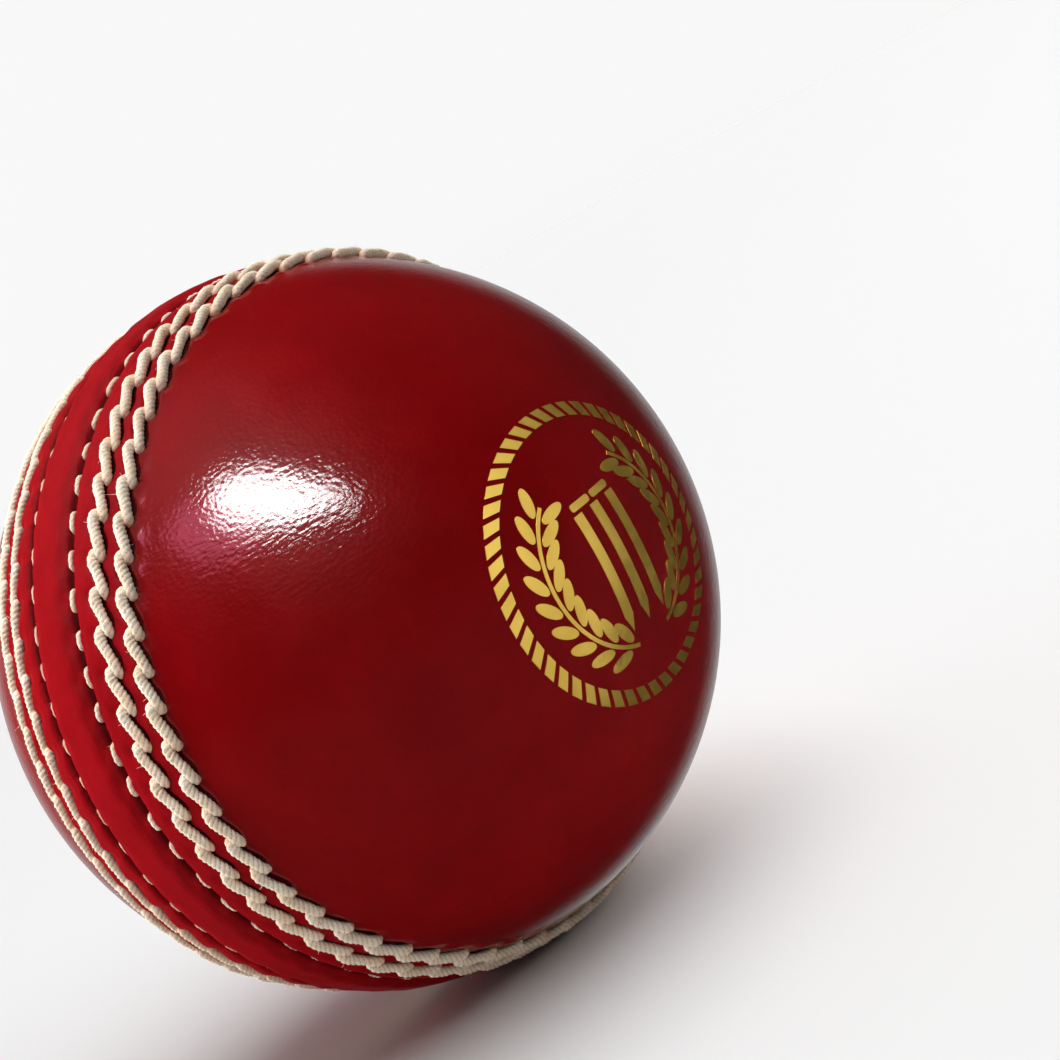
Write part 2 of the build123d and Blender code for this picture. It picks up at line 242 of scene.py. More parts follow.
def leather_height(turn, arc, side):
    """Height of the leather over the cup's sphere, and how deep in a groove or hole it lies, 0 to 1, which
    the leather's colour turns into painted shade.
    """
    rows = ROWS[side]
    pitch = PITCH * CUP_RADIUS
    closing = rows["closing"].share(turn)
    pulled = 0.5 + 0.5 * np.cos(2 * math.pi * closing)
    from_closing = arc - rows["closing"].arc
    # The groove of the closing row is drawn in at each dash and gapes between dashes
    gape = GROOVE_GAPE - GROOVE_DRAWN_IN * pulled
    shifted = arc - gape * np.clip(from_closing / 0.3, -1, 1) * plateau(from_closing, 0.7, 0.5)
    # The ropes' beds follow the zigzag of their stitches
    for name in ("inner", "outer"):
        row = rows[name]
        sway = BED_SWAY * np.sin(2 * math.pi * row.share(turn))
        shifted = shifted - sway * plateau(arc - row.arc, 0.9, 0.65)
    base = np.interp(shifted, TABLE_ARCS, TABLE_HEIGHTS)
    # Depth in the grooves, which the leather's colour paints as shade
    depth = np.clip((PAINTED_SHADE_HEIGHT - base) / PAINTED_SHADE_FADE, 0, 1) * plateau(arc - 6.0, 5.0, 0.8)
    # Each dash draws down the band's edge, and less so the flap, and the band bulges between dashes
    height = base - BAND_DIP * pulled * bell(arc - 2.45, 0.65) - FLAP_DIP * pulled * bell(arc - 4.1, 0.6)
    height = height + BAND_BULGE * (1 - pulled) * bell(arc - 1.9, 0.8)
    # Holes at both ends of each dash, also painted dark as shade
    along = np.abs(closing) * pitch - DASH_HALF
    hole = bell(along, 0.28) * bell(from_closing, 0.36)
    height = height - DASH_HOLE_DEPTH * hole
    depth = np.maximum(depth, hole)
    # Holes where two stitches of a rope meet, also painted dark as shade. The leather dips beside them and
    # bulges beside the stitches
    for name, dip in ROPE_DIPS:
        row = rows[name]
        share = row.share(turn)
        along = (0.5 - np.abs(share)) * pitch
        offset = arc - row.arc
        hole = bell(along, 0.42) * bell(offset - ROPE_HOLE_OFFSET * np.sign(-share), 0.62)
        height = height - ROPE_HOLE_DEPTH * hole
        height = height - dip * bell(along, 0.85) * bell(offset + 1.35, 0.70)
        height = height - POLE_SIDE_DIP * bell(along, 0.85) * bell(offset - BESIDE_ROPE, 0.50)
        height = height + ROPE_BULGE * bell(share, 0.22) * bell(np.abs(offset) - BESIDE_ROPE, 0.4)
        depth = np.maximum(depth, 0.9 * hole)
    # Slow unevenness, which runs on unbroken from one side of the seam plane to the other
    angle = turn if side == "near" else turn + FAR_TURN
    across = arc if side == "near" else -arc
    height = height + wobble(angle, across, *SEAM_WOBBLE) * plateau(arc, 11.0, 1.5)
    height = height + wobble(angle, across, *BAND_WOBBLE) * plateau(arc, 2.2, 0.6)
    return height, depth


def surface_point(turn, arc, height, side):
    """Place in the frame, in millimetres, over the leather's sphere."""
    latitude = arc / CUP_RADIUS
    radius = CUP_RADIUS + height
    across = radius * np.sin(latitude)
    flat = radius * np.cos(latitude)
    sign = -1.0 if side == "near" else 1.0
    angle = turn if side == "near" else turn + FAR_TURN
    return np.stack([flat * np.cos(angle), sign * across, flat * np.sin(angle)], axis=-1)


NORMAL_STEP = 0.03


def surface_normal(turn, arc, side):
    """Outward direction of the leather's surface."""
    sides = []
    for turn_step, arc_step in ((NORMAL_STEP / CUP_RADIUS, 0.0), (0.0, NORMAL_STEP)):
        ends = []
        for sign in (1, -1):
            turns = turn + sign * turn_step
            arcs = arc + sign * arc_step
            ends.append(surface_point(turns, arcs, leather_height(turns, arcs, side)[0], side))
        sides.append(ends[0] - ends[1])
    normal = np.cross(sides[0], sides[1])
    if side == "far":
        normal = -normal
    return normal / np.linalg.norm(normal, axis=-1, keepdims=True)


# ---------------------------------------------------------------- meshes

def mesh_object(name, points, faces, materials, flat=0, values=None):
    """Object from points in millimetres, with named values for its points. The last faces may be flat."""
    mesh = bpy.data.meshes.new(name)
    mesh.from_pydata([tuple(p) for p in np.asarray(points) * MM], [], faces)
    mesh.validate()
    mesh.update()
    count = len(mesh.polygons)
    mesh.polygons.foreach_set("use_smooth", [True] * (count - flat) + [False] * flat)
    for key, numbers in (values or {}).items():
        attribute = mesh.attributes.new(key, "FLOAT", "POINT")
        attribute.data.foreach_set("value", np.asarray(numbers, dtype=np.float32))
    piece = bpy.data.objects.new(name, mesh)
    bpy.context.scene.collection.objects.link(piece)
    for material in materials:
        mesh.materials.append(material)
    return piece


# Fineness of the leather: columns in a stitch and steps across the seam, then wider ones over the cup
SEAM_COLUMNS = 20
SEAM_STEP = 0.16
SEAM_ZONE = 12.9
CUP_STEP = 0.85
NARROWEST_COLUMN = 0.55
INNER_COLUMNS = 62
INNER_ROWS = 24
# The leather is satin on the seam and polished from the outer row of stitches on
SATIN_ZONE = 10.0
POLE_ARC = CUP_RADIUS * math.pi / 2
INNER_HEIGHT = LEATHER_INSIDE_RADIUS - CUP_RADIUS


def ring_plan():
    """Arc and number of columns of each ring of points, from the lip to near the cup's middle."""
    count = SEAM_COLUMNS * STITCH_COUNT // 2
    plan = [(arc, count) for arc in np.linspace(0, SEAM_ZONE, int(SEAM_ZONE / SEAM_STEP))]
    steps = int((POLE_ARC - SEAM_ZONE) / CUP_STEP)
    for arc in np.linspace(SEAM_ZONE, POLE_ARC, steps + 1)[1:-1]:
        around = math.pi * CUP_RADIUS * math.cos(arc / CUP_RADIUS)
        if count % 2 == 0 and around / count < NARROWEST_COLUMN:
            count //= 2
        plan.append((arc, count))
    return plan


def faces_between(upper, lower):
    """Faces between two rings. The lower one has as many columns as the upper one, or half as many."""
    if len(upper) == len(lower):
        return [(upper[k], upper[k + 1], lower[k + 1], lower[k]) for k in range(len(upper) - 1)]
    faces = []
    for k in range(len(lower) - 1):
        faces.append((upper[2 * k], upper[2 * k + 1], lower[k]))
        faces.append((upper[2 * k + 1], lower[k + 1], lower[k]))
        faces.append((upper[2 * k + 1], upper[2 * k + 2], lower[k + 1]))
    return faces


def leather_quarter(name, side, start, materials):
    """One quarter of the leather: half a cup, from the lip at the seam plane to the cup's middle."""
    points, groove_shade_depths, faces, normals = [], [], [], []

    def add_points(new_points, new_shade_depths):
        first = len(points)
        points.extend(new_points)
        groove_shade_depths.extend(new_shade_depths)
        return list(range(first, len(points)))

    # Outside face
    plan = ring_plan()
    rings = []
    for arc, count in plan:
        turns = start + np.linspace(0, math.pi, count + 1)
        arcs = np.full_like(turns, arc)
        height, depth = leather_height(turns, arcs, side)
        rings.append(add_points(surface_point(turns, arcs, height, side), depth))
        normals.extend(surface_normal(turns, arcs, side))
    pole = add_points([surface_point(np.array(0.0), np.array(POLE_ARC), 0.0, side)], [0.0])[0]
    normals.append(points[pole] / CUP_RADIUS)
    satin_faces = 0
    for (arc, _), upper, lower in zip(plan, rings, rings[1:]):
        faces.extend(faces_between(upper, lower))
        if arc < SATIN_ZONE:
            satin_faces = len(faces)
    for k in range(len(rings[-1]) - 1):
        faces.append((rings[-1][k], rings[-1][k + 1], pole))
    outer_faces = len(faces)

    # Inside face, coarse, at the core's radius, at full depth so that it is painted dark as shade
    inner = []
    for row in range(INNER_ROWS):
        turns = start + np.linspace(0, math.pi, INNER_COLUMNS + 1)
        arcs = np.full_like(turns, POLE_ARC * row / INNER_ROWS)
        inner.append(add_points(surface_point(turns, arcs, INNER_HEIGHT, side), [1.0] * (INNER_COLUMNS + 1)))
    inner_pole = add_points([surface_point(np.array(0.0), np.array(POLE_ARC), INNER_HEIGHT, side)], [1.0])[0]
    for upper, lower in zip(inner, inner[1:]):
        for k in range(INNER_COLUMNS):
            faces.append((upper[k + 1], upper[k], lower[k], lower[k + 1]))
    for k in range(INNER_COLUMNS):
        faces.append((inner[-1][k + 1], inner[-1][k], inner_pole))

    # Flat walls: the lip at the seam plane and the two halves of the joint
    faces.append(tuple(rings[0][::-1] + inner[0]))
    faces.append(tuple([r[0] for r in rings] + [pole, inner_pole] + [r[0] for r in inner[::-1]]))
    faces.append(tuple([r[-1] for r in inner] + [inner_pole, pole] + [r[-1] for r in rings[::-1]]))
    if side == "far":
        faces = [face[::-1] for face in faces]

    piece = mesh_object(name, points, faces, materials, flat=3, values={"depth": groove_shade_depths})
    mesh = piece.data
    mesh.polygons.foreach_set("material_index", [1] * satin_faces + [0] * (len(faces) - satin_faces))
    # Exact normals outside, so that neither the joints nor the seam plane show. Zero keeps the usual one.
    corner_normals = []
    for polygon in mesh.polygons:
        for vertex in polygon.vertices:
            corner_normals.append(tuple(normals[vertex]) if polygon.index < outer_faces else (0.0, 0.0, 0.0))
    mesh.normals_split_custom_set(corner_normals)
    return piece


# ---------------------------------------------------------------- thread

SPLINE_STEPS = 12


def smooth_path(corners, count):
    """Even points along a smooth curve that starts and ends at the first and last corners."""
    corners = np.asarray(corners, dtype=float)
    padded = np.vstack([2 * corners[0] - corners[1], corners, 2 * corners[-1] - corners[-2]])
    pieces = []
    for k in range(len(padded) - 3):
        p = padded[k : k + 4]
        for t in np.linspace(0, 1, SPLINE_STEPS, endpoint=False):
            first, last = (1 - t) ** 3, t**3
            second, third = 3 * t**3 - 6 * t**2 + 4, -3 * t**3 + 3 * t**2 + 3 * t + 1
            pieces.append(np.array([first, second, third, last]) / 6 @ p)
    pieces.append((padded[-3] + 4 * padded[-2] + padded[-1]) / 6)
    pieces = np.array(pieces)
    lengths = np.concatenate([[0], np.cumsum(np.linalg.norm(np.diff(pieces, axis=0), axis=1))])
    even = np.linspace(0, lengths[-1], count)
    return np.stack([np.interp(even, lengths, pieces[:, axis]) for axis in range(3)], axis=1)


def frames_along(path):
    """Two directions across a path at each point, with as little twist as possible."""
    tangents = np.gradient(path, axis=0)
    tangents /= np.linalg.norm(tangents, axis=1)[:, None]
    side = np.cross(tangents[0], path[0] / np.linalg.norm(path[0]))
    if np.linalg.norm(side) < 0.1:
        side = np.cross(tangents[0], [0, 1, 0])
    sides = []
    for tangent in tangents:
        side = side - tangent * np.dot(side, tangent)
        side = side / np.linalg.norm(side)
        sides.append(side)
    sides = np.array(sides)
    return sides, np.cross(tangents, sides)


FIBRE_POINTS = 5
FIBRE_AROUND = 4
FIBRE_CURL = 0.28
FIBRE_TIP = 0.4
STITCH_FIBRE_RADIUS = 0.022
DASH_FIBRE_RADIUS = 0.030


class Soup:
    """Points and faces of many strands, gathered into one mesh.

    Each point also says how deep its thread is buried, and how far it stands out on its ply, 0 to 1.
    """

    def __init__(self):
        self.points = []
        self.faces = []
        self.buried = []
        self.ply = []

    def mesh(self, name, material):
        values = {"buried": self.buried, "ply": self.ply}
        return mesh_object(name, self.points, self.faces, [material], values=values)

    def strand(self, path, radii, around, lobes, lay, twist, lobe_depth, buried):
        """Closed round strand whose plies wind along it as lobes."""
        sides, ups = frames_along(path)
        steps = np.concatenate([[0], np.cumsum(np.linalg.norm(np.diff(path, axis=0), axis=1))])
        first = len(self.points)
        angles = np.linspace(0, 2 * math.pi, around, endpoint=False)
        for k, centre in enumerate(path):
            turn = twist + 2 * math.pi * steps[k] / lay
            lobe = np.abs(np.cos((angles - turn) * lobes / 2))
            reach = radii[k] * (1 - lobe_depth + lobe_depth * lobe**0.7)
            ring = centre + reach[:, None] * (
                np.cos(angles)[:, None] * sides[k] + np.sin(angles)[:, None] * ups[k]
            )
            self.points.extend(ring)
            self.buried.extend([buried[k]] * around)
            self.ply.extend(lobe if lobe_depth > 0 else np.ones(around))
        count = len(path)
        for k in range(count - 1):
            a = first + k * around
            for j in range(around):
                b = (j + 1) % around
                self.faces.append((a + j, a + b, a + around + b, a + around + j))
        self.faces.append(tuple(first + j for j in range(around))[::-1])
        last = first + (count - 1) * around
        self.faces.append(tuple(last + j for j in range(around)))

    def fibre(self, start, direction, length, radius, rng):
        """Loose fibre that curls away from the thread."""
        direction = direction / np.linalg.norm(direction)
        bend = np.array([rng.gauss(0, 1) for _ in range(3)])
        path = []
        for k in range(FIBRE_POINTS):
            t = k / (FIBRE_POINTS - 1)
            path.append(start + direction * length * t + bend * length * FIBRE_CURL * t * t)
        radii = radius * np.linspace(1, FIBRE_TIP, FIBRE_POINTS)
        plain = {"lobes": 2, "lay": 50.0, "twist": 0.0, "lobe_depth": 0.0}
        self.strand(np.array(path), radii, FIBRE_AROUND, buried=[0.0] * FIBRE_POINTS, **plain)


def placer(side, row, middle, half, sway):
    """Function that places a point on a stitch, by its share of half the stitch, and across it and up."""

    def at(share, across, height):
        turn = middle + share * half
        return surface_point(np.array(turn), np.array(row.arc + across + sway), height, side)

    return at


def row_threads(name, side, row_name, material, seed):
    """One row of seam stitches, each a twisted thread that dives into the leather at both ends.

    The head of a stitch is its full end, beside the band, and its tail tucks in beside the next head.
    """
    row = ROWS[side][row_name]
    rng = random.Random(seed)
    soup = Soup()
    slim, slant, sunk = (1.0, 1.0, 0.0) if side == "near" else (FAR_SLIM, FAR_SLANT, FAR_SUNK)
    lap = STITCH_LAP / CUP_RADIUS
    for k in range(STITCH_COUNT):
        before = row.gaps[k - 1] - (2 * math.pi if k == 0 else 0)
        after = row.gaps[k]
        radius = THREAD_RADIUS * row.radii[k] * slim
        top = THREAD_HEIGHT - sunk + row.lifts[k]
        shift = STITCH_SHIFT * slant * rng.uniform(0.85, 1.15)
        at = placer(side, row, (before + after) / 2, (after - before) / 2 + lap, row.sways[k])
        corners = [
            at(-0.90, -shift * 0.6, -2.0),
            at(-0.94, -shift * 0.7, -1.0),
            at(-1.03, -shift * 0.9, -0.1),
            at(-1.00, -shift * 1.15, top),
            at(-0.74, -shift * 1.40, top + 0.13),
            at(-0.42, -shift * 1.10, top + 0.14),
            at(0.00, -shift * 0.10, top + 0.10),
            at(0.42, shift * 0.70, top + 0.08),
            at(0.74, shift * 1.10, top + 0.02),
            at(0.96, shift * 1.10, top - 0.16),
            at(1.02, shift * 0.90, -0.3),
            at(0.96, shift * 0.70, -1.2),
            at(0.92, shift * 0.60, -2.0),
        ]
        path = smooth_path(corners, STITCH_POINTS)
        heights = np.linalg.norm(path, axis=1) - CUP_RADIUS
        t = np.linspace(-1, 1, STITCH_POINTS)
        buried = np.clip((top - 0.05 - heights) / 0.5, 0, 1) + 0.22 * np.clip(t * 2 - 0.5, 0, 1)
        lumps = 0.045 * np.sin(rng.uniform(8, 13) * t + rng.uniform(0, WAVE_PHASES))
        lumps = lumps + 0.03 * np.sin(23 * t + k)
        radii = radius * (1.0 - 0.09 * t + 0.05 * bell(t + 0.35, 0.25) + lumps)
        buried = np.minimum(buried, 1)
        soup.strand(path, radii, STITCH_AROUND, STITCH_PLIES, STITCH_LAY, row.twists[k], STITCH_LOBE, buried)
        for _ in range(STITCH_FIBRES):
            index = rng.randint(12, STITCH_POINTS - 13)
            centre = path[index]
            outward = centre / np.linalg.norm(centre)
            push = np.array([rng.gauss(0, 1) for _ in range(3)])
            push = push - outward * np.dot(push, outward) * 0.6 + outward * 0.35
            push /= np.linalg.norm(push)
            soup.fibre(centre + push * radius * 0.8, push, rng.uniform(0.25, 0.7), STITCH_FIBRE_RADIUS, rng)
    return soup.mesh(name, material)


def closing_thread(name, material, seed):
    """Dashes of the thread that closes the lips, on both sides of the band, joined under it.

    On the plain side the thread is drawn tighter, so its dashes lie deeper and look thinner.
    """
    rng = random.Random(seed)
    soup = Soup()
    for side, depth, thin in (("near", 0.0, 1.0), ("far", FAR_DASH_DEPTH, FAR_DASH_THIN)):
        row = ROWS[side]["closing"]
        for k in range(STITCH_COUNT):
            middle = row.turns[k]
            half = DASH_HALF * rng.uniform(0.75, 1.08) / CUP_RADIUS
            lean = rng.uniform(-0.16, 0.08)
            radius = DASH_RADIUS * thin * rng.uniform(0.85, 1.12)
            tight = TIGHT_DEPTH * bell(math.sin((middle - TIGHT_TURN) / 2), TIGHT_WIDTH)
            top = 0.12 - depth - tight + row.lifts[k]
            at = placer(side, row, middle, half, row.sways[k] * 0.8)
            corners = [
                at(-0.86, -lean, -1.8),
                at(-0.92, -lean, -0.9),
                at(-1.06, -lean, -0.3),
                at(-0.92, -lean, top - 0.02),
                at(-0.45, -lean * 0.5, top + 0.05),
                at(0.00, 0.0, top + 0.05),
                at(0.45, lean * 0.5, top + 0.04),
                at(0.92, lean, top - 0.05),
                at(1.06, lean, -0.3),
                at(0.92, lean, -0.9),
                at(0.86, lean, -1.8),
            ]
            path = smooth_path(corners, DASH_POINTS)
            heights = np.linalg.norm(path, axis=1) - CUP_RADIUS
            buried = np.clip((top - 0.03 - heights) / 0.35, 0, 1)
            buried = np.clip(buried + depth * 3 + rng.uniform(0, 0.25), 0, 1)
            radii = np.full(DASH_POINTS, radius)
            soup.strand(path, radii, DASH_AROUND, DASH_PLIES, DASH_LAY, row.twists[k], DASH_LOBE, buried)
            for _ in range(DASH_FIBRES):
                index = rng.choice((8, 9, 24, 25))
                centre = path[index]
                tangent = path[index + 1] - path[index - 1]
                push = tangent * rng.choice((-1, 1)) / np.linalg.norm(tangent)
                outward = centre / np.linalg.norm(centre)
                stray = rng.uniform(0.2, 0.8)
                push = push + outward * stray + np.array([rng.gauss(0, 0.3) for _ in range(3)])
                root = centre + outward * radius * 0.8
                soup.fibre(root, push, rng.uniform(0.2, 0.6), DASH_FIBRE_RADIUS, rng)
    return soup.mesh(name, material)


# ---------------------------------------------------------------- materials

def feed(tree, socket, value):
    """Link a socket to another one, or set it to a constant."""
    if isinstance(value, bpy.types.NodeSocket):
        tree.links.new(value, socket)
    else:
        socket.default_value = value


class Nodes:
    """Short way to build a material's nodes."""

    def __init__(self, name):
        self.material = bpy.data.materials.new(name)
        self.material.use_nodes = True
        self.tree = self.material.node_tree
        self.shader = self.tree.nodes["Principled BSDF"]

    def add(self, kind, inputs=None, **settings):
        node = self.tree.nodes.new(kind)
        for key, value in settings.items():
            setattr(node, key, value)
        for key, value in (inputs or {}).items():
            feed(self.tree, node.inputs[key], value)
        return node

    def place(self):
        """Place in the piece, in metres."""
        return self.add("ShaderNodeTexCoord").outputs["Object"]

    def noise(self, scale, detail=3.0, roughness=0.5):
        return self.add(
            "ShaderNodeTexNoise",
            {"Vector": self.place(), "Scale": scale, "Detail": detail, "Roughness": roughness},
        ).outputs["Fac"]

    def ramp(self, factor, low, high, low_value=0.0, high_value=1.0):
        node = self.add("ShaderNodeMapRange", {"Value": factor}, interpolation_type="SMOOTHSTEP")
        node.inputs["From Min"].default_value = low
        node.inputs["From Max"].default_value = high
        node.inputs["To Min"].default_value = low_value
        node.inputs["To Max"].default_value = high_value
        return node.outputs["Result"]

    def mix(self, factor, a, b):
        """Colour a where the factor is 0, and b where it is 1. A constant colour is given without alpha."""
        node = self.add("ShaderNodeMix", data_type="RGBA")
        for key, value in (("Factor", factor), ("A", a), ("B", b)):
            socket = [s for s in node.inputs if s.name == key and s.enabled][0]
            feed(self.tree, socket, (*value, 1.0) if isinstance(value, tuple) else value)
        return [s for s in node.outputs if s.enabled][0]

    def value(self, name):
        """Value that the mesh holds for each point."""
        return self.add("ShaderNodeAttribute", attribute_name=name).outputs["Fac"]

    def math(self, operation, a, b):
        node = self.add("ShaderNodeMath", operation=operation)
        for socket, value in zip(node.inputs, (a, b)):
            feed(self.tree, socket, value)
        return node.outputs[0]

    def bump(self, height, distance, strength=1.0, normal=None):
        inputs = {"Height": height, "Distance": distance, "Strength": strength}
        if normal is not None:
            inputs["Normal"] = normal
        return self.add("ShaderNodeBump", inputs).outputs["Normal"]

    def set(self, **sockets):
        """Feed the shader's sockets, whose names are given with _ for each space."""
        for key, value in sockets.items():
            feed(self.tree, self.shader.inputs[key.replace("_", " ")], value)


# Size of the leather's pores, which also show through the foil
PORE_SCALE = 2500.0


def leather_material(name, pale, rich, coat, coat_roughness, rough_low, rough_high):
    """Red leather, clouded between two reds, with painted shade in its grooves and holes."""
    m = Nodes(name)
    groove_shade_depth = m.value("depth")
    cloud = m.ramp(m.noise(95.0, 4.0, 0.55), 0.32, 0.70)
    mottle = m.ramp(m.noise(620.0, 3.0, 0.6), 0.30, 0.72)
    red = m.mix(cloud, pale, rich)
    red = m.mix(m.math("MULTIPLY", mottle, 0.25), red, (0.180, 0.0007, 0.0022))
    # Painted shade: grooves and holes are mixed towards a near-black red
    red = m.mix(m.math("MULTIPLY", groove_shade_depth, 0.85), red, (0.040, 0.0006, 0.0015))
    cells = m.add(
        "ShaderNodeTexVoronoi",
        {"Vector": m.place(), "Scale": PORE_SCALE},
        feature="SMOOTH_F1",
    ).outputs["Distance"]
    fine = m.noise(5200.0, 2.0, 0.6)
    grain = m.math("ADD", m.math("MULTIPLY", cells, 0.8), m.math("MULTIPLY", fine, 0.35))
    turned = m.add(
        "ShaderNodeMapping",
        {"Vector": m.place(), "Rotation": (0.5, 0.9, 0.3), "Scale": (0.35, 0.35, 1.9)},
    )
    wrinkles = m.add(
        "ShaderNodeTexNoise",
        {"Vector": turned.outputs["Vector"], "Scale": 1500.0, "Detail": 2.0, "Distortion": 0.6},
    ).outputs["Fac"]
    creased = m.math("MULTIPLY", wrinkles, m.ramp(m.noise(60.0, 1.0, 0.5), 0.45, 0.60, 0.2, 1.0))
    slow = m.noise(260.0, 2.0, 0.5)
    normal = m.bump(grain, 0.000045, 0.60)
    normal = m.bump(creased, 0.00005, 0.40, normal)
    normal = m.bump(slow, 0.00012, 0.30, normal)
    rough = m.ramp(m.noise(180.0, 4.0, 0.6), 0.25, 0.75, rough_low, rough_high)
    rough = m.math("ADD", rough, m.math("MULTIPLY", groove_shade_depth, 0.25))
    m.set(Base_Color=red, Roughness=rough, Normal=normal, Coat_Normal=normal)
    m.set(Specular_IOR_Level=0.05, IOR=1.45, Coat_Weight=coat, Coat_Roughness=coat_roughness, Coat_IOR=1.50)
    return m.material


def thread_material(name, light, dark, dyed):
    """Waxed thread, with painted brown shade between its plies, and dyed by the leather where it is buried.
    """
    m = Nodes(name)
    buried = m.value("buried")
    tone = m.ramp(m.noise(420.0, 3.0, 0.6), 0.3, 0.7)
    flecks = m.ramp(m.noise(3600.0, 2.0, 0.7), 0.35, 0.75)
    colour = m.mix(tone, light, dark)
    colour = m.mix(m.math("MULTIPLY", flecks, 0.30), colour, tuple(c * 0.62 for c in dark))
    specks = m.ramp(m.noise(2400.0, 1.0, 0.5), 0.69, 0.74)
    colour = m.mix(m.math("MULTIPLY", specks, 0.55), colour, (0.30, 0.26, 0.16))
    # Painted shade: the valleys between plies are mixed towards brown
    ply_valley_shade = m.ramp(m.value("ply"), 0.10, 0.55, 0.75, 0.0)
    colour = m.mix(ply_valley_shade, colour, (0.52, 0.27, 0.13))
    colour = m.mix(m.math("MULTIPLY", buried, 0.80), colour, dyed)
    fibres = m.noise(9000.0, 2.0, 0.7)
    m.set(Base_Color=colour, Normal=m.bump(fibres, 0.00005, 0.6))
    m.set(Roughness=m.ramp(flecks, 0.0, 1.0, 0.62, 0.82))
    m.set(Sheen_Weight=0.15, Sheen_Roughness=0.5)
    return m.material


def foil_material():
    """Pressed gold foil, a little worn, that follows the leather's pores."""
    m = Nodes("gold_foil")
    tone = m.ramp(m.noise(110.0, 2.0, 0.5), 0.35, 0.65)
    colour = m.mix(tone, (0.92, 0.62, 0.12), (0.72, 0.47, 0.08))
    wear = m.ramp(m.noise(1900.0, 5.0, 0.7), 0.68, 0.76)
    colour = m.mix(m.math("MULTIPLY", wear, 0.5), colour, (0.30, 0.06, 0.02))
    grain = m.add(
        "ShaderNodeTexVoronoi",
        {"Vector": m.place(), "Scale": PORE_SCALE},
        feature="SMOOTH_F1",
    ).outputs["Distance"]
    rough = m.ramp(m.noise(900.0, 3.0, 0.6), 0.3, 0.7, 0.30, 0.42)
    m.set(Base_Color=colour, Roughness=rough, Normal=m.bump(grain, 0.00003, 0.4))
    m.set(Metallic=m.ramp(wear, 0.0, 1.0, 0.9, 0.5))
    return m.material


def cork_material():
    """Cork made of pressed granules."""
    m = Nodes("composite_cork")
    cells = m.add("ShaderNodeTexVoronoi", {"Vector": m.place(), "Scale": 900.0})
    grains = m.ramp(cells.outputs["Color"], 0.2, 0.8)
    colour = m.mix(grains, (0.40, 0.22, 0.10), (0.60, 0.40, 0.22))
    specks = m.ramp(m.noise(1500.0, 4.0, 0.7), 0.62, 0.70)
    colour = m.mix(specks, colour, (0.12, 0.05, 0.02))
    m.set(Base_Color=colour, Roughness=m.ramp(grains, 0.0, 1.0, 0.75, 0.95))
    m.set(Normal=m.bump(cells.outputs["Distance"], 0.0002, 0.6))
    return m.material


def yarn_material(name, tilt):
    """Wool wound in bands, which run another way on each winding."""
    m = Nodes(name)
    turned = m.add("ShaderNodeMapping", {"Vector": m.place(), "Rotation": tilt})
    bands = m.add(
        "ShaderNodeTexWave",
        {"Vector": turned.outputs["Vector"], "Scale": 240.0, "Distortion": 3.0, "Detail": 3.0},
    ).outputs["Fac"]
    colour = m.mix(bands, (0.46, 0.36, 0.23), (0.74, 0.62, 0.45))
    fuzz = m.ramp(m.noise(3000.0, 3.0, 0.7), 0.3, 0.7)
    colour = m.mix(m.math("MULTIPLY", fuzz, 0.4), colour, (0.84, 0.76, 0.62))
    m.set(Base_Color=colour, Roughness=m.ramp(fuzz, 0.0, 1.0, 0.8, 0.95))
    m.set(Normal=m.bump(m.math("ADD", bands, fuzz), 0.0003, 0.7), Sheen_Weight=0.3)
    return m.material


LEATHER = leather_material(
    "polished_red_leather",
    pale=(0.225, 0.0006, 0.0018),
    rich=(0.275, 0.0008, 0.0024),
    coat=0.90,
    coat_roughness=0.09,
    rough_low=0.34,
    rough_high=0.46,
)
SEAM_LEATHER = leather_material(
    "satin_red_leather",
    pale=(0.255, 0.0014, 0.0042),
    rich=(0.310, 0.0018, 0.0056),
    coat=0.0,
    coat_roughness=0.40,
    rough_low=0.56,
    rough_high=0.68,
)
SEAM_THREAD = thread_material(
    "waxed_seam_thread",
    light=(0.98, 0.87, 0.71),
    dark=(0.92, 0.72, 0.50),
    dyed=(0.52, 0.11, 0.04),
)
HIDDEN_THREAD = thread_material(
    "hidden_thread",
    light=(0.78, 0.66, 0.48),
    dark=(0.66, 0.52, 0.34),
    dyed=(0.50, 0.36, 0.22),
)
FOIL = foil_material()
CORK = cork_material()

# ---------------------------------------------------------------- pieces

def keep(piece, slot, *nodes):
    """Put a finished piece on the ball in place of CAD nodes."""
    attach(piece, "root")
    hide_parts(*nodes)


QUARTERS = (
    ("right_leather_quarter", "near", -0.5, "stamped_cup_right_quarter"),
    ("left_leather_quarter", "near", 0.5, "stamped_cup_left_quarter"),
    ("upper_leather_quarter", "far", -0.5, "plain_cup_upper_quarter"),
    ("lower_leather_quarter", "far", 0.5, "plain_cup_lower_quarter"),
)
for name, side, start, node in QUARTERS:
    keep(leather_quarter(name, side, start * math.pi, [LEATHER, SEAM_LEATHER]), "leather", node)

THREADS = (
    ("stamped_side_inner_stitches", "near", "inner", "stamped_side_inner_seam_thread", 31),
    ("stamped_side_outer_stitches", "near", "outer", "stamped_side_outer_seam_thread", 32),
    ("plain_side_inner_stitches", "far", "inner", "plain_side_inner_seam_thread", 33),
    ("plain_side_outer_stitches", "far", "outer", "plain_side_outer_seam_thread", 34),
)
for name, side, row_name, node, seed in THREADS:
    keep(row_threads(name, side, row_name, SEAM_THREAD, seed), "seam_thread", node)
keep(closing_thread("lip_closing_stitches", SEAM_THREAD, 41), "seam_thread", "lip_closing_thread")

